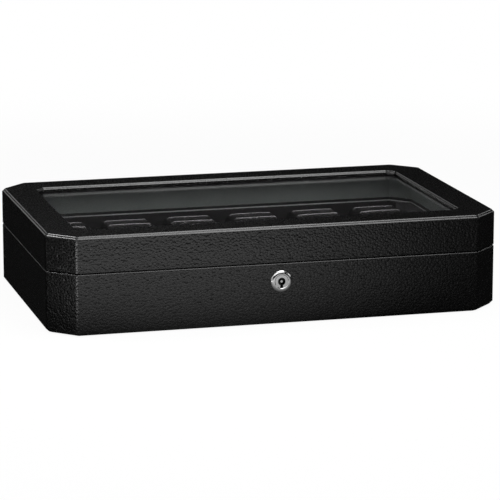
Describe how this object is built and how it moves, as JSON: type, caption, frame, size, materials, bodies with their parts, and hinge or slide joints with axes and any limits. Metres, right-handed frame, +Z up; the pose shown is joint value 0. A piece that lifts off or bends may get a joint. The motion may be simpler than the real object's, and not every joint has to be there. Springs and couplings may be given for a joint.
{
  "type": "watch box",
  "caption": "Black leather watch box with cut corners, a hinged glass-topped lid, a tray of watch cushions between dividers and a small key lock in the front.",
  "frame": {"origin": "middle of the box's footprint, on the surface it stands on", "axes": "+X to the right along the front, +Y from the front with the lock to the back with the hinges, +Z up"},
  "size_m": [0.4, 0.254, 0.086],
  "materials": {
    "black_leather": "pebbled, satin",
    "board": "raw fibreboard",
    "black_felt": "felt",
    "tray_suede": "suede cloth",
    "cushion_suede": "suede cloth over foam",
    "lid_suede": "suede cloth",
    "clear_glass": "polished",
    "seal": "soft foam tape",
    "polished_nickel": "polished",
    "lock_steel": "zinc plated"
  },
  "bodies": {
    "base": {"base_carcass": "board", "bottom_board": "board", "base_leather": "black_leather", "bottom_felt": "black_felt", "base_wall_lining": "tray_suede", "tray_floor_lining": "tray_suede", "tray_end_left": "tray_suede", "tray_end_right": "tray_suede", "lock_rosette": "polished_nickel", "lock_case": "lock_steel", "lock_case_cover": "lock_steel", "lock_case_screws": "lock_steel", "base_hinge_screws": "lock_steel", "hinge_left_base_leaf": "polished_nickel", "hinge_left_pin": "lock_steel", "hinge_right_base_leaf": "polished_nickel", "hinge_right_pin": "lock_steel", "long_divider_1": "tray_suede", "long_divider_2": "tray_suede", "cross_divider_1": "tray_suede", "cross_divider_2": "tray_suede", "cross_divider_3": "tray_suede", "cross_divider_4": "tray_suede", "cross_divider_5": "tray_suede"},
    "lid": {"lid_carcass": "board", "lid_leather": "black_leather", "lid_wall_lining": "lid_suede", "glass_pane": "clear_glass", "glass_seal": "seal", "glass_retainer": "lid_suede", "striker_plate": "polished_nickel", "striker_screws": "lock_steel", "lid_hinge_screws": "lock_steel", "hinge_left_lid_leaf": "polished_nickel", "hinge_right_lid_leaf": "polished_nickel"},
    "lock_cylinder": {"lock_plug": "polished_nickel", "keyhole_pin": "polished_nickel", "lock_claw": "lock_steel", "claw_screw": "lock_steel"},
    "cushion_11": {"watch_cushion_11": "cushion_suede"},
    "cushion_12": {"watch_cushion_12": "cushion_suede"},
    "cushion_13": {"watch_cushion_13": "cushion_suede"},
    "cushion_14": {"watch_cushion_14": "cushion_suede"},
    "cushion_15": {"watch_cushion_15": "cushion_suede"},
    "cushion_16": {"watch_cushion_16": "cushion_suede"},
    "cushion_21": {"watch_cushion_21": "cushion_suede"},
    "cushion_22": {"watch_cushion_22": "cushion_suede"},
    "cushion_23": {"watch_cushion_23": "cushion_suede"},
    "cushion_24": {"watch_cushion_24": "cushion_suede"},
    "cushion_25": {"watch_cushion_25": "cushion_suede"},
    "cushion_26": {"watch_cushion_26": "cushion_suede"},
    "cushion_31": {"watch_cushion_31": "cushion_suede"},
    "cushion_32": {"watch_cushion_32": "cushion_suede"},
    "cushion_33": {"watch_cushion_33": "cushion_suede"},
    "cushion_34": {"watch_cushion_34": "cushion_suede"},
    "cushion_35": {"watch_cushion_35": "cushion_suede"},
    "cushion_36": {"watch_cushion_36": "cushion_suede"}
  },
  "joints": [
    {"name": "lid_hinge", "type": "hinge", "parent": "base", "child": "lid", "pos_m": [0, 0.125, 0.05375], "axis": [-1, 0, 0], "range_deg": [0, 95]},
    {"name": "lock_turn", "type": "hinge", "parent": "base", "child": "lock_cylinder", "pos_m": [0, -0.121, 0.0379], "axis": [0, 1, 0], "range_deg": [0, 80]},
    {"name": "cushion_lift_11", "type": "slide", "parent": "base", "child": "cushion_11", "axis": [0, 0, 1], "range_m": [0, 0.025]},
    {"name": "cushion_lift_12", "type": "slide", "parent": "base", "child": "cushion_12", "axis": [0, 0, 1], "range_m": [0, 0.025]},
    {"name": "cushion_lift_13", "type": "slide", "parent": "base", "child": "cushion_13", "axis": [0, 0, 1], "range_m": [0, 0.025]},
    {"name": "cushion_lift_14", "type": "slide", "parent": "base", "child": "cushion_14", "axis": [0, 0, 1], "range_m": [0, 0.025]},
    {"name": "cushion_lift_15", "type": "slide", "parent": "base", "child": "cushion_15", "axis": [0, 0, 1], "range_m": [0, 0.025]},
    {"name": "cushion_lift_16", "type": "slide", "parent": "base", "child": "cushion_16", "axis": [0, 0, 1], "range_m": [0, 0.025]},
    {"name": "cushion_lift_21", "type": "slide", "parent": "base", "child": "cushion_21", "axis": [0, 0, 1], "range_m": [0, 0.025]},
    {"name": "cushion_lift_22", "type": "slide", "parent": "base", "child": "cushion_22", "axis": [0, 0, 1], "range_m": [0, 0.025]},
    {"name": "cushion_lift_23", "type": "slide", "parent": "base", "child": "cushion_23", "axis": [0, 0, 1], "range_m": [0, 0.025]},
    {"name": "cushion_lift_24", "type": "slide", "parent": "base", "child": "cushion_24", "axis": [0, 0, 1], "range_m": [0, 0.025]},
    {"name": "cushion_lift_25", "type": "slide", "parent": "base", "child": "cushion_25", "axis": [0, 0, 1], "range_m": [0, 0.025]},
    {"name": "cushion_lift_26", "type": "slide", "parent": "base", "child": "cushion_26", "axis": [0, 0, 1], "range_m": [0, 0.025]},
    {"name": "cushion_lift_31", "type": "slide", "parent": "base", "child": "cushion_31", "axis": [0, 0, 1], "range_m": [0, 0.025]},
    {"name": "cushion_lift_32", "type": "slide", "parent": "base", "child": "cushion_32", "axis": [0, 0, 1], "range_m": [0, 0.025]},
    {"name": "cushion_lift_33", "type": "slide", "parent": "base", "child": "cushion_33", "axis": [0, 0, 1], "range_m": [0, 0.025]},
    {"name": "cushion_lift_34", "type": "slide", "parent": "base", "child": "cushion_34", "axis": [0, 0, 1], "range_m": [0, 0.025]},
    {"name": "cushion_lift_35", "type": "slide", "parent": "base", "child": "cushion_35", "axis": [0, 0, 1], "range_m": [0, 0.025]},
    {"name": "cushion_lift_36", "type": "slide", "parent": "base", "child": "cushion_36", "axis": [0, 0, 1], "range_m": [0, 0.025]}
  ]
}
